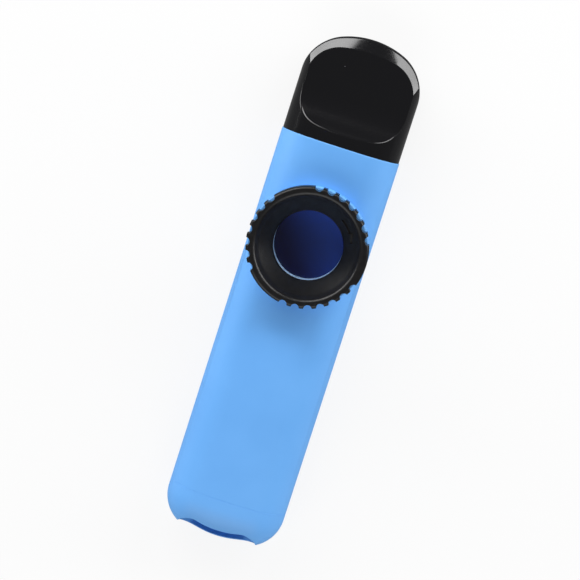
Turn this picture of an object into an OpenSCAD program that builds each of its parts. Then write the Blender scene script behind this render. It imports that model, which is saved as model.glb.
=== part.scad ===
// Kazoo: an oval tube with a dished mouthpiece, a slotted nose and a screw ring over a film.
// Millimetres. +Y points to the mouthpiece, +Z up through the ring, z = 0 is the resting flat.

/* [Tube] */
// Overall length, mouth tip to outlet
total_len = 120; // [105:1:140]
// Width of the oval
tube_w = 27.7; // [27:0.1:34]
// Height of the widest line above the resting flat
belly_h = 6; // [5.6:0.1:8]
// Radius of the upper side roundings
side_r = 8.6; // [7.5:0.1:9.4]
// How far the crown rises above the side roundings
crown_rise = 0.5; // [0.3:0.1:1.2]
// Radius of the lower side roundings
belly_r = 5; // [4.2:0.1:5.4]
// Depth of the flat cut along the back
back_flat = 0.3; // [0.15:0.05:0.6]
// Wall of the tube
wall = 1.6; // [1.2:0.1:2]

/* [Mouthpiece] */
// Length from the tip to the seam
mouth_len = 24.6; // [22:0.1:28]
// How far its sides stand in from the tube
mouth_step = 0.15; // [0.05:0.05:0.3]
// Radius of the corners of the arch that ends it, in plan
arch_r = 10.3; // [8.5:0.1:11]
// How far the arch rises beyond its corners
arch_rise = 0.65; // [0.4:0.05:1.5]
// Depth of the front dish below the crown
dish_depth = 4.1; // [3.4:0.1:4.4]
// Depth of the back dish above the resting flat
back_dish_depth = 2.6; // [2:0.1:3]
// Radius of the scoop at the root of each dish
scoop_r = 10; // [7:0.5:12]
// Shoulder left between the seam and a dish
dish_margin = 2.55; // [2.2:0.05:4]
// Width of the bevel at the tip
bevel_w = 2.95; // [1.8:0.05:3.4]
// Width of the bevel at the sides of the arch
bevel_side = 1.4; // [0.8:0.05:2]
// Height of each bevel
bevel_h = 1.3; // [0.9:0.1:1.9]
// Width of the blow slot
blow_w = 19; // [15:0.5:20]
// Height of the blow slot
blow_h = 4.4; // [4.2:0.1:4.8]

/* [Outlet nose] */
// Straight land between the nose and its joint line
nose_land = 1.9; // [1.6:0.1:4]
// Radius of the rounding under the nose
nose_low_r = 3; // [2:0.1:4]
// Width of the outlet slot
outlet_w = 18.6; // [14:0.2:20]
// Height of the outlet slot above the widest line
outlet_h = 6.9; // [5:0.1:7.2]
// Depth of the outlet slot below the widest line
outlet_drop = 3.2; // [2.8:0.1:4]
// Radius of the outlet slot's upper corners
outlet_r = 3.4; // [2:0.1:4.5]
// Radius of the outlet slot's lower corners
outlet_low_r = 2.4; // [1.5:0.1:3]
// How far the nose is bored out behind its slot
nose_bore = 3; // [1:0.5:4]

/* [Spigots] */
// Length of the plug that each end piece pushes into the tube
spigot_len = 8; // [5:0.5:12]
// Wall of the plugs
spigot_wall = 1.3; // [1:0.1:1.6]
// Gap left for glue round the plugs
glue_gap = 0.05; // [0.02:0.01:0.1]

/* [Pedestal] */
// Distance of the ring's axis from the mouth tip
ring_from_tip = 47.5; // [45:0.1:60]
// How far the pedestal stands in from the ring
drum_step = 0.25; // [0.1:0.05:0.6]
// Height of the pedestal above the crown
drum_h = 2.3; // [1.6:0.1:4]
// Clear height between the pedestal's rim and the seat of the hoop
socket_depth = 5.25; // [4.8:0.05:6]
// How far the port below the film stands in from the sound hole
port_step = 0.3; // [0.1:0.1:1]
// Thickness of the seat ledge
ledge_t = 1.5; // [1:0.1:2]

/* [Screw ring] */
// How far the grip stands in from the sides of the tube
ring_step = 0.15; // [0.05:0.05:0.6]
// Height of the knurled head
ring_h = 3.75; // [3:0.05:5]
// Width of the rim
rim_w = 2.3; // [1.8:0.05:2.8]
// Depth of the funnel from the rim to the sound hole
funnel_depth = 5.5; // [5:0.1:6]
// Thickness of the lip round the sound hole
lip_t = 0.6; // [0.4:0.1:1]
// Radius of the edge roundings
edge_r = 0.8; // [0.4:0.1:1]
// How far the head overhangs the skirt that carries the thread
head_over = 2.7; // [2.4:0.05:3]
// Wall of the skirt
skirt_wall = 1; // [0.8:0.05:1.2]
// Room for the thread between the skirt and its socket
thread_gap = 0.5; // [0.4:0.05:0.7]
// Gap between the pedestal and the closed ring
head_gap = 0.25; // [0.1:0.05:0.5]
// Groups of grip notches
grip_groups = 3; // [2:1:4]
// Notches in each group
grip_notches = 7; // [5:1:9]
// Angle of the first group's middle from +X
grip_start = 60; // [0:5:115]
// Angle from notch to notch
grip_pitch = 12; // [10:0.5:14]
// Radius of a notch
notch_r = 0.95; // [0.6:0.05:1.1]

/* [Film] */
// Wall of the hoop, which the sound hole is flush with
hoop_wall = 2.1; // [1.6:0.1:3]
// Thickness of the film
film_t = 0.12; // [0.1:0.01:0.3]
// Rim of the hoop left bare outside the film
film_inset = 0.5; // [0.3:0.1:1]
// Running gap round the hoop, above it and below the film
hoop_gap = 0.05; // [0.03:0.01:0.1]

/* [Hidden] */
$fn = 96;
over = 1;
slice_t = 0.02;
tip_step = 0.03;
tip_lap = 1.5;
wall_steps = 2;
bevel_steps = 3;
nose_steps = 12;
nose_lap = 0.5;
nose_step = 0.05;
half_w = tube_w / 2;
crown_h = side_r + crown_rise;
arch_depth = arch_r + arch_rise;
crown_z = belly_h + crown_h;

// Stations along the tube
tip_y = total_len / 2;
end_y = -total_len / 2;
seam_y = tip_y - mouth_len;
spring_y = tip_y - arch_depth;
nose_y = end_y + crown_h - nose_inset(belly_h - outlet_drop) - nose_step;
joint_y = nose_y + nose_land;
ring_y = tip_y - ring_from_tip;

// Levels through the ring
drum_z = crown_z + drum_h;
seat_z = drum_z - socket_depth;
head_z = drum_z + head_gap;
rim_z = head_z + ring_h;
lip_z = rim_z - funnel_depth;
film_z = seat_z + hoop_gap;
hoop_z = film_z + film_t;
hoop_h = lip_z - lip_t - hoop_gap - hoop_z;
skirt_z = hoop_z;

// Radii of the ring and of what it fits
ring_r = half_w - ring_step;
drum_r = ring_r - drum_step;
rim_r = ring_r - rim_w;
skirt_r = ring_r - head_over;
socket_r = skirt_r + thread_gap;
hoop_r = skirt_r - skirt_wall - hoop_gap;
hole_r = hoop_r - hoop_wall;
port_r = hole_r - port_step;

// Levels through the mouthpiece
dish_z = crown_z - dish_depth;
blow_z = (dish_z + back_dish_depth) / 2;
tip_top = dish_z - tip_step;
tip_low = back_dish_depth + tip_step;
plug_inset = wall + glue_gap;
bore_inset = plug_inset + spigot_wall;

// Radius of the arc that joins two side circles of radius r at height h over half-width w
function crown_r(w, h, r) = (pow(w - r, 2) + h * h - r * r) / (2 * (h - r));

function arc(cx, cy, r, from, to, steps = 8) =
    [for (i = [0 : steps]) let (a = from + (to - from) * i / steps) [cx + r * cos(a), cy + r * sin(a)]];

// Half of an oval above its widest line: side circles and a tangent crown
module half_oval(w, h, r) {
    big = crown_r(w, h, r);
    reach = 3 * (w - r);
    drop = 2 * (big - h);
    intersection() {
        union() {
            for (side = [-1, 1]) translate([side * (w - r), 0]) circle(r);
            intersection() {
                translate([0, h - big]) circle(big);
                polygon([[0, h - big], [-reach, drop], [0, 4 * h + drop], [reach, drop]]);
            }
        }
        translate([-w, 0]) square([2 * w, h]);
    }
}

// Lower half of the tube's section, cut flat along the back
module belly(inset) {
    intersection() {
        mirror([0, 1]) half_oval(half_w - inset, belly_h + back_flat - inset, belly_r - inset);
        translate([-half_w, inset - belly_h]) square([tube_w, belly_h]);
    }
}

// Upper half of the tube's section
module crown(inset) {
    half_oval(half_w - inset, crown_h - inset, side_r - inset);
}

module section(inset = 0) {
    crown(inset);
    belly(inset);
}

// Pushes a section along the tube between two stations
module along(y_from, y_to) {
    translate([0, y_to, belly_h]) rotate([90, 0, 0]) linear_extrude(y_to - y_from) children();
}

// Puts a shape on the ring's axis
module on_ring(z = 0) {
    translate([0, ring_y, z]) children();
}

// Oval tube with the pedestal, the threaded socket and the ledge that carries the film
module body_tube() {
    color("#6aaef5") difference() {
        union() {
            along(joint_y, seam_y) section();
            on_ring(belly_h) cylinder(r = drum_r, h = drum_z - belly_h);
        }
        difference() {
            along(joint_y - over, seam_y + over) section(wall);
            on_ring(seat_z - ledge_t) cylinder(r = drum_r, h = drum_z);
        }
        on_ring(seat_z) cylinder(r = socket_r, h = socket_depth + over);
        on_ring(seat_z - ledge_t - over) cylinder(r = port_r, h = ledge_t + 2 * over);
    }
}

// How far the rounding under the nose draws it in at a height
function nose_inset(z) = nose_low_r - sqrt(pow(nose_low_r, 2) - pow(max(nose_low_r - z, 0), 2));

// Half-width of the tube's lower half at a height
function belly_half_width(z) =
    let (h = belly_h + back_flat, big = crown_r(half_w, h, belly_r), mid = half_w - belly_r)
    let (turn = atan2(big - h, mid), drop = belly_h - z)
    drop < belly_r * sin(turn) ? mid + sqrt(belly_r * belly_r - drop * drop)
        : sqrt(big * big - pow(drop + big - h, 2));

// Plan outline of the nose at a height, as a thin slice
module nose_slice(z, inset) {
    w = belly_half_width(min(z, belly_h)) - nose_step;
    depth = crown_h - inset - nose_step;
    translate([0, nose_y, z]) mirror([0, 1]) linear_extrude(slice_t) {
        half_oval(w, depth, side_r * min(w / half_w, depth / crown_h));
        translate([-w, -tip_lap]) square([2 * w, tip_lap]);
    }
}

// Lower nose: plan outlines stacked under the widest line, drawn in round its lower edge
module lower_nose() {
    hull() {
        nose_slice(belly_h + nose_lap, 0);
        for (i = [0 : nose_steps]) {
            z = nose_step + (belly_h - nose_step) * pow(i / nose_steps, 2);
            nose_slice(z, nose_inset(z));
        }
    }
}

// Upper nose: the crown's section swung a quarter turn about the widest line
module upper_nose() {
    translate([0, nose_y, belly_h]) rotate([0, 90, 0]) rotate([0, 0, 180])
        rotate_extrude(angle = 90) rotate(-90) crown(0);
}

// Half of a slot above the widest line, with rounded corners
module half_slot(w, h, r) {
    translate([-w, 0]) square([2 * w, h - r]);
    translate([r - w, 0]) square([2 * (w - r), h]);
    for (side = [-1, 1]) translate([side * (w - r), h - r]) circle(r);
}

// Slot in the nose, seen from the outlet end
module outlet_slot() {
    half_slot(outlet_w / 2, outlet_h, outlet_r);
    mirror([0, 1]) half_slot(outlet_w / 2, outlet_drop, outlet_low_r);
}

// Rounded nose with the sound outlet, plugged into the tube
module outlet_cap() {
    color("#68acf3") difference() {
        union() {
            lower_nose();
            upper_nose();
            along(nose_y, joint_y) section();
            along(joint_y, joint_y + spigot_len) section(plug_inset);
        }
        along(end_y - over, nose_y) outlet_slot();
        along(nose_y - nose_bore, joint_y + spigot_len + over) section(bore_inset);
    }
}

// Half-width of the mouthpiece's section at a height
function half_width_at(z) =
    let (r = z < belly_h ? belly_r : side_r)
    half_w - r + sqrt(pow(r - mouth_step, 2) - pow(z - belly_h, 2));

// Arch that ends the mouthpiece in plan, no wider than its section, as a thin slice at a height
module arch_slice(z, share) {
    w = half_w - mouth_step - tip_step - bevel_side * share;
    depth = arch_depth - bevel_w * share;
    side = half_width_at(z) - tip_step;
    translate([0, spring_y, z]) linear_extrude(slice_t, center = true) intersection() {
        union() {
            half_oval(w, depth, arch_r * depth / arch_depth);
            translate([-w, -tip_lap]) square([2 * w, tip_lap]);
        }
        translate([-side, -tip_lap]) square([2 * side, tip_lap + depth]);
    }
}

// Tip of the mouthpiece: arches stacked through its height, drawn in toward each dish as a bevel
module bevelled_tip() {
    hull() {
        for (i = [0 : wall_steps]) {
            rise = i / wall_steps;
            arch_slice(belly_h + (tip_top - bevel_h - belly_h) * rise, 0);
            arch_slice(belly_h + (tip_low + bevel_h - belly_h) * rise, 0);
        }
        for (i = [1 : bevel_steps]) {
            share = i / bevel_steps;
            arch_slice(tip_top - bevel_h * (1 - share), share);
            arch_slice(tip_low + bevel_h * (1 - share), share);
        }
    }
}

// Side view of what a dish takes away: a flat floor that curls up past the shoulder
module dish_cut(depth) {
    top = depth + over;
    run = sqrt(scoop_r * scoop_r - pow(scoop_r - depth, 2));
    floor_y = seam_y + dish_margin + run;
    rotate([90, 0, 90]) linear_extrude(tube_w + 2 * over, center = true) {
        translate([floor_y, 0]) square([tip_y - floor_y, top]);
        intersection() {
            translate([floor_y, scoop_r]) circle(scoop_r);
            translate([floor_y - scoop_r, 0]) square([scoop_r + over, top]);
        }
    }
}

// Stadium outline of the blow slot
module blow_slot() {
    flat = blow_w - blow_h;
    translate([0, blow_z - belly_h]) {
        square([flat, blow_h], center = true);
        for (side = [-1, 1]) translate([side * flat / 2, 0]) circle(d = blow_h);
    }
}

// Beak with a dish front and back, plugged into the tube
module mouthpiece() {
    plenum_y = seam_y + dish_margin - spigot_wall;
    color("#18181b") difference() {
        union() {
            along(seam_y - spigot_len, seam_y) section(plug_inset);
            difference() {
                along(seam_y, spring_y) section(mouth_step);
                translate([0, 0, dish_z]) dish_cut(dish_depth);
                translate([0, 0, back_dish_depth]) mirror([0, 0, 1]) dish_cut(back_dish_depth);
            }
            bevelled_tip();
        }
        along(seam_y - spigot_len - over, plenum_y) section(bore_inset);
        along(plenum_y - over, tip_y + over) blow_slot();
    }
}

// Half section of the screw ring: knurled head, funnel, thin lip and threaded skirt
module ring_profile() {
    funnel_turn = atan2(funnel_depth, rim_r - hole_r) + 90;
    polygon(concat(
        [[hole_r, lip_z - lip_t], [hole_r, lip_z]],
        arc(rim_r + edge_r, rim_z - edge_r, edge_r, funnel_turn, 90),
        arc(ring_r - edge_r, rim_z - edge_r, edge_r, 90, 0),
        [[ring_r, head_z], [skirt_r, head_z], [skirt_r, skirt_z]],
        [[hoop_r + hoop_gap, skirt_z], [hoop_r + hoop_gap, lip_z - lip_t]]
    ));
}

// Grip notches in groups round the ring, with smooth arcs between the groups
module grip_notch_set() {
    for (group = [0 : grip_groups - 1], i = [0 : grip_notches - 1]) {
        middle = grip_start + group * 360 / grip_groups;
        turn = middle + (i - (grip_notches - 1) / 2) * grip_pitch;
        rotate(turn) translate([ring_r, 0, head_z - over]) cylinder(r = notch_r, h = ring_h + 2 * over);
    }
}

// Screw ring that clamps the film
module clamp_ring() {
    color("#1e1d1f") on_ring() difference() {
        rotate_extrude() ring_profile();
        grip_notch_set();
    }
}

// Hoop that keeps the film stretched and snaps under the ring's lip
module membrane_hoop() {
    color("#a9cdf2") on_ring(hoop_z) difference() {
        cylinder(r = hoop_r, h = hoop_h);
        translate([0, 0, -over]) cylinder(r = hole_r, h = hoop_h + 2 * over);
    }
}

// Film glued to the underside of the hoop
module membrane_film() {
    color("#223a78") on_ring(film_z) cylinder(r = hoop_r - film_inset, h = film_t);
}

body_tube();
outlet_cap();
mouthpiece();
clamp_ring();
membrane_hoop();
membrane_film();
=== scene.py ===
import math
import bpy
from mathutils import Matrix, Vector


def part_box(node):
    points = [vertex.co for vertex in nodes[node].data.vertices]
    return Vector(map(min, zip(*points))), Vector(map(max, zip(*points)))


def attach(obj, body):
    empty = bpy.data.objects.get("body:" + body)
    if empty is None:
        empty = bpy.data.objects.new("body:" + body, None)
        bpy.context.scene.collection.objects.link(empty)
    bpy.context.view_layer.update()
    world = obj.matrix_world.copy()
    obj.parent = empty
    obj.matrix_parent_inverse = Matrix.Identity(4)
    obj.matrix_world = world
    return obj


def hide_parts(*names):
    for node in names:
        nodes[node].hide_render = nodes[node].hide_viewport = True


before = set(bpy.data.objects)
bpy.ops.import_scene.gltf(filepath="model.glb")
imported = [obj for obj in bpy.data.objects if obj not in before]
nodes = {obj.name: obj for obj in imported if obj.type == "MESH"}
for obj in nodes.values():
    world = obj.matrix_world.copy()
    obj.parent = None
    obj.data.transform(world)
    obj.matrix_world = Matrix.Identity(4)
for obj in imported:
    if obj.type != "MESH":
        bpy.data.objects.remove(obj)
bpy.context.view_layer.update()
mm = 0.001  # the pieces are sized in millimetres, and Blender works in metres
print("frame loaded:", ", ".join(sorted(nodes)))


def boxOf(node):  # a node's corners in millimetres
    return [[c / mm for c in corner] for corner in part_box(node)]


tubeLow, tubeHigh = boxOf("body_tube")
ringLow, ringHigh = boxOf("clamp_ring")
hoopLow, hoopHigh = boxOf("membrane_hoop")
halfW, seamY, drumZ = tubeHigh
jointY = tubeLow[1]
tipY = boxOf("mouthpiece")[1][1]
capY = boxOf("outlet_cap")[0][1]
filmZ = boxOf("membrane_film")[0][2]
ringR, hoopR = ringHigh[0], hoopHigh[0]
ringY = (hoopLow[1] + hoopHigh[1]) / 2

# The oval of the tube
tube = {"bellyH": 6, "sideR": 8.6, "crownRise": 0.5, "bellyR": 5, "backFlat": 0.3, "wall": 1.6,
        "edge": 0.06, "seamDrop": 0.12, "seamRun": 0.18}  # edge at the nose, chamfer at the mouthpiece
bellyH = tube["bellyH"]
crownH = tube["sideR"] + tube["crownRise"]
cutPast = 1  # how far a cutter runs past what it cuts
samePoint = 1e-7  # in metres: points of a seam that are one
nearPoint = 2e-6  # in metres: points of a cut or a fold that are one


# Colours and shader nodes
def linear(hexText):  # sRGB hex to linear colour
    parts = [int(hexText[i:i + 2], 16) / 255 for i in (0, 2, 4)]
    return [c / 12.92 if c <= 0.04045 else ((c + 0.055) / 1.055) ** 2.4 for c in parts] + [1]


def addNode(tree, kind, inputs=None, **settings):  # one node with its settings and its links or values
    node = tree.nodes.new(kind)
    for name, value in settings.items():
        setattr(node, name, value)
    for name, value in (inputs or {}).items():
        if isinstance(value, bpy.types.Node):
            value = value.outputs[0]  # a node stands for its first output
        if isinstance(value, bpy.types.NodeSocket):
            tree.links.new(value, node.inputs[name])
        else:
            node.inputs[name].default_value = value
    return node


def startMaterial(name):
    material = bpy.data.materials.new(name)
    material.use_nodes = True
    tree = material.node_tree
    tree.nodes.clear()
    place = addNode(tree, "ShaderNodeTexCoord").outputs["Object"]
    return material, tree, place


def endMaterial(tree, shader):
    addNode(tree, "ShaderNodeOutputMaterial", {"Surface": shader})


noiseSpan = {"From Min": 0.3, "From Max": 0.7}  # where most of a noise lies

# Satin ABS from a spark-eroded tool: an even blue, slightly cloudy, with a soft grain drawn coarse to show
tubeFinish = {"light": "6bb0f5", "deep": "64a9ef", "cloud": 16 * mm, "grain": 0.3 * mm,
              "depth": 0.004 * mm, "detail": 3, "smooth": 0.44, "rough": 0.54, "ior": 1.5}


def satinAbs():
    finish = tubeFinish
    material, tree, place = startMaterial("blue_abs_satin_moulded")
    cloud = addNode(tree, "ShaderNodeTexNoise", {
        "Vector": place, "Scale": 1 / finish["cloud"], "Detail": finish["detail"]})
    share = addNode(tree, "ShaderNodeMapRange", {"Value": cloud, **noiseSpan})
    colour = addNode(tree, "ShaderNodeMix", {
        0: share, 6: linear(finish["deep"]), 7: linear(finish["light"])}, data_type="RGBA")
    grain = addNode(tree, "ShaderNodeTexNoise", {
        "Vector": place, "Scale": 1 / finish["grain"], "Detail": finish["detail"]})
    roughness = addNode(tree, "ShaderNodeMapRange", {
        "Value": grain, **noiseSpan, "To Min": finish["smooth"], "To Max": finish["rough"]})
    normal = addNode(tree, "ShaderNodeBump", {
        "Height": grain, "Strength": 1.0, "Distance": finish["depth"]})
    endMaterial(tree, addNode(tree, "ShaderNodeBsdfPrincipled", {
        "Base Color": colour.outputs[2], "Roughness": roughness, "IOR": finish["ior"], "Normal": normal}))
    return material


# Polished black ABS: mirror-like, a little wavy, with a few pale dust specks
mouthFinish = {"black": "0b0b0e", "dust": "9a9aa0", "speckGap": 2.2 * mm, "speckShare": 0.06,
               "dustPatch": 4 * mm, "dustFrom": 0.6, "detail": 3, "wave": 9 * mm, "waveDetail": 1,
               "depth": 0.02 * mm, "smooth": 0.125, "rough": 0.7, "ior": 1.55}


def polishedAbs():
    finish = mouthFinish
    material, tree, place = startMaterial("black_abs_polished")
    speck = addNode(tree, "ShaderNodeTexVoronoi", {"Vector": place, "Scale": 1 / finish["speckGap"]})
    near = addNode(tree, "ShaderNodeMath", {0: speck, 1: finish["speckShare"]}, operation="LESS_THAN")
    patch = addNode(tree, "ShaderNodeTexNoise", {
        "Vector": place, "Scale": 1 / finish["dustPatch"], "Detail": finish["detail"]})
    few = addNode(tree, "ShaderNodeMath", {0: patch, 1: finish["dustFrom"]}, operation="GREATER_THAN")
    dust = addNode(tree, "ShaderNodeMath", {0: near, 1: few}, operation="MULTIPLY")
    colour = addNode(tree, "ShaderNodeMix", {
        0: dust, 6: linear(finish["black"]), 7: linear(finish["dust"])}, data_type="RGBA")
    roughness = addNode(tree, "ShaderNodeMapRange", {
        "Value": dust, "To Min": finish["smooth"], "To Max": finish["rough"]})
    wave = addNode(tree, "ShaderNodeTexNoise", {
        "Vector": place, "Scale": 1 / finish["wave"], "Detail": finish["waveDetail"]})
    normal = addNode(tree, "ShaderNodeBump", {
        "Height": wave, "Strength": 1.0, "Distance": finish["depth"]})
    endMaterial(tree, addNode(tree, "ShaderNodeBsdfPrincipled", {
        "Base Color": colour.outputs[2], "Roughness": roughness, "IOR": finish["ior"], "Normal": normal}))
    return material


# Satin black nylon, moulded: a broad dull sheen on a grain drawn coarse to show
ringFinish = {"black": "0b0a0b", "worn": "141314", "wear": 1.2 * mm, "wearDetail": 3,
              "grain": 0.25 * mm, "grainDetail": 4, "depth": 0.012 * mm, "smooth": 0.28, "rough": 0.4,
              "ior": 1.5, "sheen": 0.4}


def satinNylon():
    finish = ringFinish
    material, tree, place = startMaterial("black_nylon_satin_moulded")
    wear = addNode(tree, "ShaderNodeTexNoise", {
        "Vector": place, "Scale": 1 / finish["wear"], "Detail": finish["wearDetail"]})
    share = addNode(tree, "ShaderNodeMapRange", {"Value": wear, **noiseSpan})
    colour = addNode(tree, "ShaderNodeMix", {
        0: share, 6: linear(finish["black"]), 7: linear(finish["worn"])}, data_type="RGBA")
    grain = addNode(tree, "ShaderNodeTexNoise", {
        "Vector": place, "Scale": 1 / finish["grain"], "Detail": finish["grainDetail"]})
    roughness = addNode(tree, "ShaderNodeMapRange", {
        "Value": grain, **noiseSpan, "To Min": finish["smooth"], "To Max": finish["rough"]})
    normal = addNode(tree, "ShaderNodeBump", {
        "Height": grain, "Strength": 1.0, "Distance": finish["depth"]})
    endMaterial(tree, addNode(tree, "ShaderNodeBsdfPrincipled", {
        "Base Color": colour.outputs[2], "Roughness": roughness, "IOR": finish["ior"],
        "Specular IOR Level": finish["sheen"], "Normal": normal}))
    return material


# Pale blue polypropylene, moulded: waxy and even, a light line round the film
hoopFinish = {"pale": "b4d6fa", "shade": "a2c8f2", "cloud": 3 * mm, "detail": 3, "rough": 0.4, "ior": 1.49}


def hoopPlastic():
    finish = hoopFinish
    material, tree, place = startMaterial("pale_blue_pp_moulded")
    cloud = addNode(tree, "ShaderNodeTexNoise", {
        "Vector": place, "Scale": 1 / finish["cloud"], "Detail": finish["detail"]})
    share = addNode(tree, "ShaderNodeMapRange", {"Value": cloud, **noiseSpan})
    colour = addNode(tree, "ShaderNodeMix", {
        0: share, 6: linear(finish["shade"]), 7: linear(finish["pale"])}, data_type="RGBA")
    endMaterial(tree, addNode(tree, "ShaderNodeBsdfPrincipled", {
        "Base Color": colour.outputs[2], "Roughness": finish["rough"], "IOR": finish["ior"]}))
    return material


# Stretched polyester film, glossy and faintly rippled, drawn opaque: its navy is painted shade of the dark
# tube inside beneath it, deeper at one side, and its bluer side is painted light where light enters the tube
filmPaintedShade = {"navy": "090d38", "blue": "233f8e", "slant": (0.8, 0.6, 0), "reach": 12 * mm,
              "ripple": 5 * mm, "detail": 1, "depth": 0.15 * mm, "rough": 0.16, "ior": 1.5}


def filmWithPaintedShade():
    finish = filmPaintedShade
    material, tree, place = startMaterial("polyester_film_painted_tube_shade")
    # painted shade and light across the film: navy where the tube below lies in shade, bluer where light
    # enters it
    slant = addNode(tree, "ShaderNodeVectorMath", {0: place, 1: finish["slant"]}, operation="DOT_PRODUCT")
    middle = finish["slant"][1] * ringY * mm
    share = addNode(tree, "ShaderNodeMapRange", {
        "Value": slant.outputs["Value"], "From Min": middle - finish["reach"] / 2,
        "From Max": middle + finish["reach"] / 2}, interpolation_type="SMOOTHSTEP")
    colour = addNode(tree, "ShaderNodeMix", {
        0: share, 6: linear(finish["navy"]), 7: linear(finish["blue"])}, data_type="RGBA")
    ripple = addNode(tree, "ShaderNodeTexNoise", {
        "Vector": place, "Scale": 1 / finish["ripple"], "Detail": finish["detail"]})
    normal = addNode(tree, "ShaderNodeBump", {
        "Height": ripple, "Strength": 1.0, "Distance": finish["depth"]})
    endMaterial(tree, addNode(tree, "ShaderNodeBsdfPrincipled", {
        "Base Color": colour.outputs[2], "Roughness": finish["rough"], "IOR": finish["ior"],
        "Normal": normal}))
    return material


# Curves and heights
def arc(cx, cy, r, start, end, steps):
    turns = [start + (end - start) * i / steps for i in range(steps + 1)]
    return [(cx + r * math.cos(t), cy + r * math.sin(t)) for t in turns]


def crownRadius(w, h, r):  # radius of the arc that joins two side circles
    return ((w - r) ** 2 + h * h - r * r) / (2 * (h - r))


def halfOval(w, h, r, steps=20):  # points from (w, 0) over the crown to (-w, 0)
    big = crownRadius(w, h, r)
    turn = math.atan2(big - h, w - r)
    side = arc(w - r, 0, r, 0, turn, steps)
    crown = arc(0, h - big, big, turn, math.pi - turn, steps)
    return side + crown[1:-1] + [(-x, y) for x, y in reversed(side)]


def ovalHeight(x, w, h, r):  # height of that half oval over a point of its base
    big = crownRadius(w, h, r)
    side = abs(x) - (w - r)
    if abs(x) >= w:
        return 0
    if side > r * math.cos(math.atan2(big - h, w - r)):
        return math.sqrt(r * r - side * side)
    return h - big + math.sqrt(big * big - x * x)


def softMin(a, b, reach):  # the smaller of two heights, with the corner between them rounded
    gap = max(reach - abs(a - b), 0) / reach
    return min(a, b) - gap * gap * reach / 4


def lastShare(holds, low, high, halvings):  # the greatest share for which a test still holds
    for _ in range(halvings):
        share = (low + high) / 2
        low, high = (share, high) if holds(share) else (low, share)
    return low


def underside(x, inset):  # level of the tube's underside
    depth = ovalHeight(x, halfW - inset, bellyH + tube["backFlat"] - inset, tube["bellyR"] - inset)
    return bellyH - min(depth, bellyH - inset)


def tubeLoop(inset, y):  # closed outline of the tube at a station
    upper = halfOval(halfW - inset, crownH - inset, tube["sideR"] - inset)
    under = [(x, y, underside(x, inset)) for x, h in reversed(upper[1:-1])]
    return [(x, y, bellyH + h) for x, h in upper] + under


# Modelling helpers
def deselect():
    bpy.ops.object.select_all(action="DESELECT")


def closeUp(near):  # joins the active mesh where it meets, fills its ends and turns its faces out
    bpy.ops.object.mode_set(mode="EDIT")
    bpy.ops.mesh.select_all(action="SELECT")
    bpy.ops.mesh.remove_doubles(threshold=near)
    bpy.ops.mesh.dissolve_degenerate(threshold=near)
    bpy.ops.mesh.fill_holes(sides=0)
    bpy.ops.mesh.select_all(action="SELECT")
    bpy.ops.mesh.normals_make_consistent(inside=False)
    bpy.ops.object.mode_set(mode="OBJECT")


def layGrid(name, rows, near):  # a grid laid over rows of points
    deselect()
    bpy.ops.mesh.primitive_grid_add(x_subdivisions=len(rows[0]) - 1, y_subdivisions=len(rows) - 1)
    piece = bpy.context.object
    piece.name = piece.data.name = name
    piece.data.vertices.foreach_set("co", [c * mm for row in rows for point in row for c in point])
    piece.data.update()
    closeUp(near)
    return piece


def skin(name, loops):  # a grid over closed loops, joined at its seam and filled at its ends
    return layGrid(name, [loop + loop[:1] for loop in loops], samePoint)


def cylinder(name, r, low, high, sides=160):
    deselect()
    bpy.ops.mesh.primitive_cylinder_add(vertices=sides, radius=r * mm, depth=(high - low) * mm,
                                        location=(0, ringY * mm, (low + high) / 2 * mm))
    bpy.ops.object.transform_apply(location=True)
    bpy.context.object.name = name
    return bpy.context.object


def combine(piece, tool, operation="DIFFERENCE"):
    deselect()
    bpy.context.view_layer.objects.active = piece
    modifier = piece.modifiers.new("combine", "BOOLEAN")
    modifier.operation = operation
    modifier.object = tool
    modifier.solver = "EXACT"
    bpy.ops.object.modifier_apply(modifier="combine")
    bpy.data.objects.remove(tool)


def dress(piece, material, body, slot, *replaced, angle=32):  # cleans a piece, gives it its finish and body
    deselect()
    piece.select_set(True)
    bpy.context.view_layer.objects.active = piece
    bpy.ops.object.mode_set(mode="EDIT")
    bpy.ops.mesh.select_all(action="SELECT")
    bpy.ops.mesh.remove_doubles(threshold=nearPoint)
    bpy.ops.mesh.dissolve_degenerate(threshold=nearPoint)
    bpy.ops.mesh.quads_convert_to_tris(ngon_method="BEAUTY")
    bpy.ops.object.mode_set(mode="OBJECT")
    bpy.ops.object.shade_smooth_by_angle(angle=math.radians(angle))
    piece.data.materials.clear()
    piece.data.materials.append(material)
    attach(piece, body)
    if replaced:
        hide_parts(*replaced)
    print("piece made:", piece.name, len(piece.data.polygons))


blueAbs, blackAbs, blackNylon = satinAbs(), polishedAbs(), satinNylon()
paleHoop, paintedShadeFilm = hoopPlastic(), filmWithPaintedShade()

# Tube with its pedestal, its socket and the ledge under the film
seat = {"drumStep": 0.25, "filmGap": 0.05, "ledge": 1.5, "headOver": 2.7, "threadGap": 0.5,
        "holeWall": 2.1, "portStep": 0.3, "round": 0.3, "roundSteps": 3}
drumR = ringR - seat["drumStep"]
skirtR = ringR - seat["headOver"]
socketR = skirtR + seat["threadGap"]
holeR = hoopR - seat["holeWall"]
seatZ = filmZ - seat["filmGap"]
ledgeZ = seatZ - seat["ledge"]


def makeDrum():  # the pedestal, with its upper edge rounded
    drum = cylinder("drum", drumR, bellyH, drumZ)
    bpy.ops.object.mode_set(mode="EDIT")
    bpy.ops.mesh.select_all(action="DESELECT")
    bpy.ops.object.mode_set(mode="OBJECT")
    for vertex in drum.data.vertices:
        vertex.select = vertex.co.z > (drumZ - seat["round"]) * mm
    bpy.ops.object.mode_set(mode="EDIT")
    bpy.ops.mesh.select_mode(type="VERT")
    bpy.ops.mesh.bevel(offset=seat["round"] * mm, segments=seat["roundSteps"])
    bpy.ops.object.mode_set(mode="OBJECT")
    return drum


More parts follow.
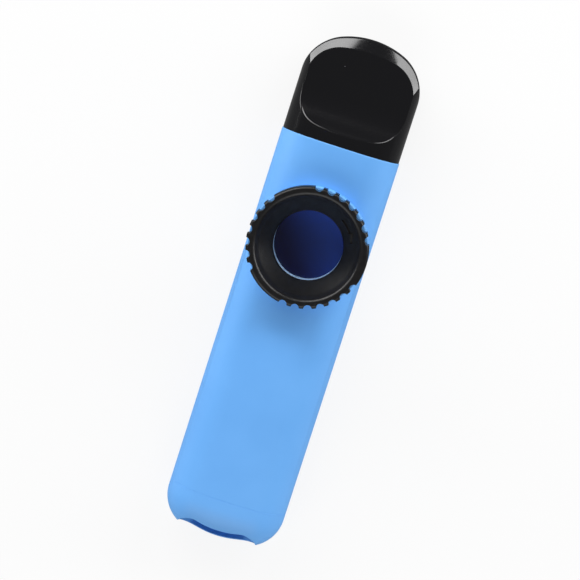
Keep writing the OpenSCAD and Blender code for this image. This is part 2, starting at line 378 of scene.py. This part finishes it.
def makeTube():
    edge, wall = tube["edge"], tube["wall"]
    piece = skin("tube_shell", [tubeLoop(edge, jointY), tubeLoop(0, jointY + edge),
                                tubeLoop(0, seamY - tube["seamRun"]), tubeLoop(tube["seamDrop"], seamY)])
    combine(piece, makeDrum(), "UNION")
    bore = skin("bore", [tubeLoop(wall, jointY - cutPast), tubeLoop(wall, seamY + cutPast)])
    combine(bore, cylinder("ledge", drumR, ledgeZ, drumZ + cutPast))
    combine(piece, bore)
    combine(piece, cylinder("port", holeR - seat["portStep"], ledgeZ - cutPast, drumZ + cutPast))
    combine(piece, cylinder("socket", socketR, seatZ, drumZ + cutPast))
    dress(piece, blueAbs, "body", "tube_plastic", "body_tube")


makeTube()

# Rounded nose with the outlet slot: flare and hollow pair a step back from the edge with a width or depth
nose = {"land": 1.9, "lowR": 3, "reach": 0.993, "rows": 28, "bore": 3, "plug": 8, "plugInset": 1.65,
        "plugWall": 1.3, "slotW": 18.6, "slotH": 7.3, "slotDrop": 2.9, "slotR": 4.2, "hornH": 0.8,
        "flareW": 3, "flare": ((-0.1, 2), (0.12, 0.75), (0.22, 0.4), (0.4, 0.15), (0.75, 0)),
        "hollow": ((0.15, -0.05), (1.4, 1.3), (6, 1.3)), "hollowIn": 0.8, "hollowTop": 0.8}
noseY = jointY - nose["land"]


def noseDepth(x, z):  # how far the lower nose reaches beyond its straight land
    drop = bellyH - z
    h = bellyH + tube["backFlat"]
    big = crownRadius(halfW, h, tube["bellyR"])
    mid = halfW - tube["bellyR"]
    if drop < tube["bellyR"] * math.sin(math.atan2(big - h, mid)):
        w = mid + math.sqrt(tube["bellyR"] ** 2 - drop * drop)
    else:
        w = math.sqrt(big * big - (drop + big - h) ** 2)
    inset = nose["lowR"] - math.sqrt(nose["lowR"] ** 2 - max(nose["lowR"] - z, 0) ** 2)
    depth = crownH - inset
    return ovalHeight(x, w, depth, tube["sideR"] * min(w / halfW, depth / crownH))


def noseLoop(share):  # one row of the nose: the crown swung down, the belly drawn up
    upper = halfOval(halfW, crownH, tube["sideR"])
    swing = share * math.pi / 2
    row = [(x, noseY - h * nose["reach"] * math.sin(swing), bellyH + h * math.cos(swing)) for x, h in upper]
    for x, h in reversed(upper[1:-1]):
        low = underside(x, 0)
        z = low + (bellyH - low) * share ** 2
        row.append((x, noseY - noseDepth(x, z) * nose["reach"], z))
    return row


def lipLevel(x):  # level of the slot's lower lip, which bows down from the horns
    return bellyH - nose["slotDrop"] * math.sqrt(max(1 - (2 * x / nose["slotW"]) ** 4, 0))


def slotOutline():
    w, h, r = nose["slotW"] / 2, nose["slotH"], nose["slotR"]
    right = [(w, nose["hornH"])] + arc(w - r, h - r, r, 0, math.pi / 2, steps=12)
    arch = [(x, bellyH + z) for x, z in right + [(-x, z) for x, z in reversed(right)]]
    steps = 40
    across = [-w * math.cos(math.pi * i / steps) for i in range(steps + 1)]
    return arch + [(x, lipLevel(x)) for x in across]


def slotRows():  # the slot's outline from the front to the back, its upper part flared
    horn = noseY - nose["reach"] * ovalHeight(nose["slotW"] / 2, halfW, crownH, tube["sideR"])
    flare = [(horn + away, wide) for away, wide in nose["flare"]]
    rows = []
    for y, wide in [(capY - cutPast, nose["flareW"])] + flare + [(noseY - cutPast, 0)]:
        grow = 1 + wide * 2 / nose["slotW"]
        rows.append([(x * grow if z > bellyH else x, y, z) for x, z in slotOutline()])
    return rows


def hollowRows():  # the cut that thins the lower lip behind its edge
    last = nose["slotW"] / 2 - nose["hollowIn"]
    steps = 16
    rows = []
    for away, sink in nose["hollow"]:
        low, high = [], []
        for x in [last * (i / steps - 1) for i in range(2 * steps + 1)]:
            lip = lipLevel(x)
            y = noseY - nose["reach"] * noseDepth(x, lip) + away
            low.append((x, y, lip - sink * (1 - (x / last) ** 4)))
            high.append((x, y, lip + nose["hollowTop"]))
        rows.append(low + high[::-1])
    return rows


def makeNose():
    edge, inset, plugY = tube["edge"], nose["plugInset"], jointY + nose["plug"]
    loops = [tubeLoop(inset, plugY), tubeLoop(inset, jointY), tubeLoop(edge, jointY),
             tubeLoop(0, jointY - edge), tubeLoop(0, noseY)]
    piece = skin("outlet_nose", loops + [noseLoop((i + 1) / nose["rows"]) for i in range(nose["rows"])])
    inner = inset + nose["plugWall"]
    boreLoops = [tubeLoop(inner, noseY - nose["bore"]), tubeLoop(inner, plugY + cutPast)]
    combine(piece, skin("nose_bore", boreLoops))
    combine(piece, skin("slot", slotRows()))
    combine(piece, skin("lip_hollow", hollowRows()))
    dress(piece, blueAbs, "body", "tube_plastic", "outlet_cap")


makeNose()

# Mouthpiece: a dished beak that ends in a bevelled arch
mouth = {"inset": 0.15, "archR": 10.3, "archRise": 0.65, "dish": 4.1, "backDish": 2.6, "scoopR": 10,
         "margin": 2.55, "bevelW": 2.95, "bevelSide": 1.4, "bevelH": 1.3, "rimW": 0.4, "rimDrop": 0.5,
         "edge": 0.25, "tipEdge": 0.08, "slotW": 19, "slotH": 4.4, "plugLap": 1.2,
         "sideRows": 72, "archRows": 36, "across": 36,  # how finely the grid is laid
         "edgeFrom": 0.3, "edgeTo": 0.97, "level": 0.001}  # where the dish's edge is sought, and how closely
archDepth = mouth["archR"] + mouth["archRise"]
springY = tipY - archDepth
dishZ = bellyH + crownH - mouth["dish"]


def bevelShare(x, y):  # how far up the bevel a point lies: 0 at the wall, 1 at the dish
    def inside(share):
        depth = archDepth - mouth["bevelW"] * share
        w = halfW - mouth["inset"] - mouth["bevelSide"] * share
        return ovalHeight(x, w, depth, mouth["archR"] * depth / archDepth) >= y - springY
    return lastShare(inside, 0, 1, halvings=20)


def beakRise(x, y, crown, r, floor):  # rise of the beak before its dish is cut
    inset = mouth["inset"]
    section = ovalHeight(x, halfW - inset, crown - inset, r - inset)
    if y <= springY:
        return section
    share = bevelShare(x, y)
    away = max(1 - share * mouth["bevelW"] / mouth["rimW"], 0)
    bevel = floor - mouth["bevelH"] * (1 - share) - mouth["rimDrop"] * (1 - math.sqrt(1 - away * away))
    return softMin(section, bevel, mouth["tipEdge"])


def dishRise(y, depth, floor):  # rise of a dish's floor, which curls up at its root
    run = math.sqrt(mouth["scoopR"] ** 2 - (mouth["scoopR"] - depth) ** 2)
    back = seamY + mouth["margin"] + run - y
    if back <= 0:
        return floor
    return floor + mouth["scoopR"] - math.sqrt(max(mouth["scoopR"] ** 2 - back * back, 0))


def beakHeights(x, y, upper):  # rises of the outer form and of the dish's floor at a point
    if upper:
        crown, r, top, depth = crownH, tube["sideR"], crownH, mouth["dish"]
    else:
        crown, r, top, depth = bellyH + tube["backFlat"], tube["bellyR"], bellyH, mouth["backDish"]
    form = beakRise(x, y, crown, r, top - depth)
    if not upper:
        form = min(form, bellyH - mouth["inset"])
    return form, dishRise(y, depth, top - depth)


def beakPoint(x, y, upper):
    form, dish = beakHeights(x, y, upper)
    reach = mouth["tipEdge"] if y > springY else mouth["edge"]
    rise = softMin(form, dish, reach)
    return (x, y, bellyH + (rise if upper else -rise))


def beakPath(x, y, upper):  # points from the middle line to the rim, closest together at the dish's edge
    middle = min(y, springY)

    def dished(share):
        form, dish = beakHeights(x * share, middle + (y - middle) * share, upper)
        return form > dish - mouth["level"]

    edge = lastShare(dished, mouth["edgeFrom"], mouth["edgeTo"], halvings=16)
    steps = mouth["across"]
    inner = [edge * math.sin(math.pi / 2 * i / steps) for i in range(steps)]
    outer = [edge + (1 - edge) * (1 - math.cos(math.pi * i / steps)) / 2 for i in range(steps + 1)]
    return [beakPoint(x * share, middle + (y - middle) * share, upper) for share in inner + outer]


def shapeBeak():  # the whole beak as one grid that folds at its rim
    w, sides = halfW - mouth["inset"], mouth["sideRows"]
    tip = [(x, springY + h) for x, h in halfOval(w, archDepth, mouth["archR"], mouth["archRows"])]
    straight = [seamY + (springY - seamY) * i / sides for i in range(sides)]
    rim = [(w, y) for y in straight] + tip + [(-w, y) for y in reversed(straight)]
    rows = [beakPath(x, y, True) + beakPath(x, y, False)[::-1] for x, y in rim]
    return layGrid("mouth_beak", rows, nearPoint)


def blowOutline():  # the blow slot, round at its ends
    flat = (mouth["slotW"] - mouth["slotH"]) / 2
    end = arc(flat, 0, mouth["slotH"] / 2, -math.pi / 2, math.pi / 2, steps=16)
    return end + [(-x, -z) for x, z in end]


def makeMouthpiece():
    piece = shapeBeak()
    inset, plugY = nose["plugInset"], seamY - nose["plug"]
    plug = skin("plug", [tubeLoop(inset, plugY), tubeLoop(inset, seamY + mouth["plugLap"])])
    combine(piece, plug, "UNION")
    inner = inset + nose["plugWall"]
    plenumY = seamY + mouth["margin"] - nose["plugWall"]
    combine(piece, skin("plug_bore", [tubeLoop(inner, plugY - cutPast), tubeLoop(inner, plenumY)]))
    blowZ = (dishZ + mouth["backDish"]) / 2
    stations = (plenumY - cutPast, tipY + cutPast)
    combine(piece, skin("slot", [[(x, y, blowZ + z) for x, z in blowOutline()] for y in stations]))
    dress(piece, blackAbs, "body", "mouth_plastic", "mouthpiece", angle=50)


makeMouthpiece()

# Screw ring: knurled head, funnel and skirt
ring = {"headH": 3.75, "rimW": 2.3, "lip": 0.6, "lipGap": 0.05, "round": 0.8, "innerRound": 1.1,
        "chamfer": 0.2, "skirtGap": 0.05, "groups": 3, "notches": 7, "start": 60, "pitch": 12,
        "notchR": 0.95, "notchReach": 0.3, "soft": 0.18, "steps": 720, "funnelSteps": 10,
        "headSlack": 0.1, "skirtClear": 0.5}  # the notches reach points above the one and outside the other
rimZ, skirtZ = ringHigh[2], ringLow[2]
headZ = rimZ - ring["headH"]
lipZ = hoopHigh[2] + ring["lipGap"] + ring["lip"]
rimR = ringR - ring["rimW"]


def notchLimit(turn):  # radius that the grip notches leave at an angle
    limit = ringR + cutPast
    for group in range(ring["groups"]):
        for i in range(ring["notches"]):
            middle = ring["start"] + group * 360 / ring["groups"]
            middle += (i - (ring["notches"] - 1) / 2) * ring["pitch"]
            away = (turn - math.radians(middle) + math.pi) % (2 * math.pi) - math.pi
            side = ringR * math.sin(away)
            if abs(away) < ring["notchReach"] and abs(side) < ring["notchR"]:
                limit = ringR * math.cos(away) - math.sqrt(ring["notchR"] ** 2 - side * side)
    return limit


def ringProfile():  # half section: from the lip up the funnel, over the rim and down the skirt
    r, inner, chamfer, steps = ring["round"], ring["innerRound"], ring["chamfer"], ring["funnelSteps"]
    slope = math.atan2(rimZ - lipZ, rimR - holeR) + math.pi / 2
    boreR, lipFoot = hoopR + ring["skirtGap"], lipZ - ring["lip"]
    wide, high = rimR - holeR, rimZ - lipZ - inner
    funnel = [(holeR + wide * i / steps, lipZ + high * i / steps) for i in range(1, steps)]
    rim = arc(rimR + inner, rimZ - inner, inner, slope, math.pi / 2, steps=12)
    rim += arc(ringR - r, rimZ - r, r, math.pi / 2, 0, steps=8)
    head = [(ringR, headZ + chamfer), (ringR - chamfer, headZ), (skirtR, headZ)]
    skirt = [(skirtR, skirtZ + chamfer), (skirtR - chamfer, skirtZ), (boreR, skirtZ), (boreR, lipFoot)]
    return [(holeR, lipFoot), (holeR, lipZ)] + funnel + rim + head + skirt


def cutNotches(piece):  # pulls the head in to the grip notches
    for vertex in piece.data.vertices:
        x, y = vertex.co.x / mm, vertex.co.y / mm - ringY
        radius = math.hypot(x, y)
        pulled = softMin(radius, notchLimit(math.atan2(y, x)), ring["soft"])
        if vertex.co.z > (headZ - ring["headSlack"]) * mm and radius > skirtR + ring["skirtClear"]:
            vertex.co.x *= pulled / radius
            vertex.co.y = (ringY + y * pulled / radius) * mm


def makeRing():
    profile = ringProfile()
    deselect()
    bpy.ops.mesh.primitive_circle_add(vertices=len(profile))
    piece = bpy.context.object
    piece.name = piece.data.name = "screw_ring"
    for vertex, (x, z) in zip(piece.data.vertices, profile):
        vertex.co = (x * mm, ringY * mm, z * mm)
    bpy.ops.object.mode_set(mode="EDIT")
    bpy.ops.mesh.select_all(action="SELECT")
    bpy.ops.mesh.spin(steps=ring["steps"], angle=2 * math.pi, center=(0, ringY * mm, 0), axis=(0, 0, 1))
    bpy.ops.object.mode_set(mode="OBJECT")
    closeUp(nearPoint)
    cutNotches(piece)
    dress(piece, blackNylon, "ring", "ring_plastic", "clamp_ring", angle=50)


makeRing()

# Thread ridges on the skirt and in the socket, half a lead apart
thread = {"lead": 2.4, "crest": 0.3, "root": 0.55, "top": 0.15, "sunk": 0.05, "steps": 72, "fade": 18,
          "thin": 0.05, "first": 1, "skirtTurns": 1.5, "socketTurns": 1}
threadZ = skirtZ + thread["first"]


def threadRows(r, outward, start, turns):  # the ridge's section, wound up and faded at both ends
    steps = int(turns * thread["steps"])
    foot, root, top = r - outward * thread["sunk"], thread["root"], thread["top"]
    rows = []
    for i in range(steps + 1):
        turn = 2 * math.pi * i / thread["steps"]
        z = start + thread["lead"] * i / thread["steps"]
        full = max(min(i, steps - i) / thread["fade"], thread["thin"])
        crest = r + outward * thread["crest"] * min(full, 1)
        section = [(foot, -root), (crest, -top), (crest, top), (foot, root)]
        rows.append([(p * math.cos(turn), ringY + p * math.sin(turn), z + up) for p, up in section])
    return rows


def makeThreads():
    skirtRidge = skin("skirt_thread", threadRows(skirtR, 1, threadZ, thread["skirtTurns"]))
    dress(skirtRidge, blackNylon, "ring", "ring_plastic")
    socketStart = threadZ + thread["lead"] / 2
    socketRidge = skin("socket_thread", threadRows(socketR, -1, socketStart, thread["socketTurns"]))
    dress(socketRidge, blueAbs, "body", "tube_plastic")


makeThreads()

# Raised arrow on the funnel, the way that the ring tightens
arrow = {"r": 9.7, "from": 55, "to": 22, "neck": 0.62, "shaft": 0.36, "head": 1.05, "tip": 0.02,
         "high": 0.34, "sunk": 0.05, "soft": 0.16, "steps": 40}


def makeArrow():
    slope = math.atan2(rimZ - ring["innerRound"] - lipZ, rimR - holeR)
    across, up = (math.cos(slope), math.sin(slope)), (-math.sin(slope), math.cos(slope))
    middle = (arrow["r"], lipZ + (arrow["r"] - holeR) * math.tan(slope))
    low, high = -arrow["sunk"], arrow["high"]
    rows = []
    for i in range(arrow["steps"] + 1):
        share = i / arrow["steps"]
        turn = math.radians(arrow["from"] + (arrow["to"] - arrow["from"]) * share)
        w = arrow["shaft"] if share < arrow["neck"] else arrow["head"] * (1 - share) / (1 - arrow["neck"])
        w = max(w, arrow["soft"] + arrow["tip"])
        top = w - arrow["soft"]
        row = []
        for a, b in ((-w, low), (w, low), (top, high), (-top, high)):
            p = middle[0] + a * across[0] + b * up[0]
            z = middle[1] + a * across[1] + b * up[1]
            row.append((p * math.cos(turn), ringY + p * math.sin(turn), z))
        rows.append(row)
    dress(skin("turn_arrow", rows), blackNylon, "ring", "ring_plastic")


makeArrow()

for name, material in (("membrane_hoop", paleHoop), ("membrane_film", paintedShadeFilm)):
    nodes[name].data.materials.clear()
    nodes[name].data.materials.append(material)
print("finishes set")

# Studio: white paper under the part, dim in mirror views, and a dim world that is white to the camera
studio = {"floor": 3.0, "floorDrop": 0.02 * mm, "paper": "eeeeee", "white": "ffffff", "shadowShare": 0.15,
          "mirrored": 0.2, "world": 0.15}

# Soft boxes, in degrees, metres and watts: long strips at the mouth end and a panel past the nose
softBoxes = {
    "strip_left": dict(azimuth=-51, elevation=22, roll=-26, distance=0.6, size=(0.97, 0.17), power=4.42),
    "strip_right": dict(azimuth=48, elevation=23.5, roll=26, distance=0.6, size=(0.75, 0.17), power=3.1),
    "front_panel": dict(azimuth=180, elevation=40, roll=0, distance=0.7, size=(1.0, 0.5), power=3.15)}


def cameraSees(tree):  # the light path, and 1 where the camera looks, straight or through glass
    path = addNode(tree, "ShaderNodeLightPath")
    looks = {0: path.outputs["Is Camera Ray"], 1: path.outputs["Is Transmission Ray"]}
    return path, addNode(tree, "ShaderNodeMath", looks, operation="MAXIMUM")


def addFloor():
    deselect()
    bpy.ops.mesh.primitive_plane_add(size=studio["floor"], location=(0, 0, -studio["floorDrop"]))
    floor = bpy.context.object
    floor.name = "floor"
    material, tree, _ = startMaterial("white_paper_floor")
    path, seen = cameraSees(tree)
    share = addNode(tree, "ShaderNodeMath", {0: seen, 1: 1 - studio["shadowShare"]}, operation="MULTIPLY")
    paper = addNode(tree, "ShaderNodeBsdfDiffuse", {"Color": linear(studio["paper"])})
    white = addNode(tree, "ShaderNodeEmission", {"Color": linear(studio["white"]), "Strength": 1.0})
    lit = addNode(tree, "ShaderNodeMixShader", {0: share, 1: paper, 2: white})
    dim = addNode(tree, "ShaderNodeEmission", {
        "Color": linear(studio["white"]), "Strength": studio["mirrored"]})
    mix = addNode(tree, "ShaderNodeMixShader", {0: path.outputs["Is Glossy Ray"], 1: lit, 2: dim})
    endMaterial(tree, mix)
    floor.data.materials.append(material)


def addSoftBox(name, azimuth, elevation, roll, distance, size, power):  # azimuth clockwise from +Y
    turn, lift = math.radians(azimuth), math.radians(elevation)
    level = math.cos(lift)
    place = Vector((math.sin(turn) * level, math.cos(turn) * level, math.sin(lift))) * distance
    light = bpy.data.lights.new(name, "AREA")
    light.shape = "RECTANGLE"
    light.size, light.size_y = size
    light.energy = power
    lamp = bpy.data.objects.new(name, light)
    bpy.context.scene.collection.objects.link(lamp)
    lamp.location = place
    lamp.rotation_euler = (-place).to_track_quat("-Z", "Y").to_euler()
    lamp.rotation_euler.rotate_axis("Z", math.radians(roll))


def addWorld():
    world = bpy.data.worlds.new("studio")
    world.use_nodes = True
    tree = world.node_tree
    tree.nodes.clear()
    seen = cameraSees(tree)[1]
    strength = addNode(tree, "ShaderNodeMapRange", {"Value": seen, "To Min": studio["world"], "To Max": 1})
    sky = addNode(tree, "ShaderNodeBackground", {"Color": linear(studio["white"]), "Strength": strength})
    addNode(tree, "ShaderNodeOutputWorld", {"Surface": sky})
    bpy.context.scene.world = world


addWorld()
addFloor()
for name, box in softBoxes.items():
    addSoftBox(name, **box)
print("studio lit")

# Camera: above the part, tipped to the mouth end, rolled as the part leans in the picture
cameraView = {"target": (-0.93 * mm, 0.52 * mm, 7 * mm), "tilt": 7.59, "side": 0.81, "lean": 17.8,
              "distance": 548.8 * mm, "lens": 149.9, "sensor": 36, "clip": 10 * mm}


def addCamera():
    tilt, side, lean = (math.radians(cameraView[k]) for k in ("tilt", "side", "lean"))
    back = Vector((math.sin(side), math.sin(tilt) * math.cos(side), math.cos(tilt) * math.cos(side)))
    along = Vector((0, 1, 0))
    up = (along - back * along.dot(back)).normalized()
    right = up.cross(back)
    imageUp = up * math.cos(lean) - right * math.sin(lean)
    imageRight = up * math.sin(lean) + right * math.cos(lean)
    turn = Matrix((imageRight, imageUp, back)).transposed().to_4x4()
    eye = Vector(cameraView["target"]) + back * cameraView["distance"]
    data = bpy.data.cameras.new("camera")
    data.lens = cameraView["lens"]
    data.sensor_width = cameraView["sensor"]
    data.clip_start = cameraView["clip"]
    camera = bpy.data.objects.new("camera", data)
    bpy.context.scene.collection.objects.link(camera)
    camera.matrix_world = Matrix.Translation(eye) @ turn
    bpy.context.scene.camera = camera


addCamera()
print("camera set")
bpy.context.scene.view_settings.view_transform = "Standard"
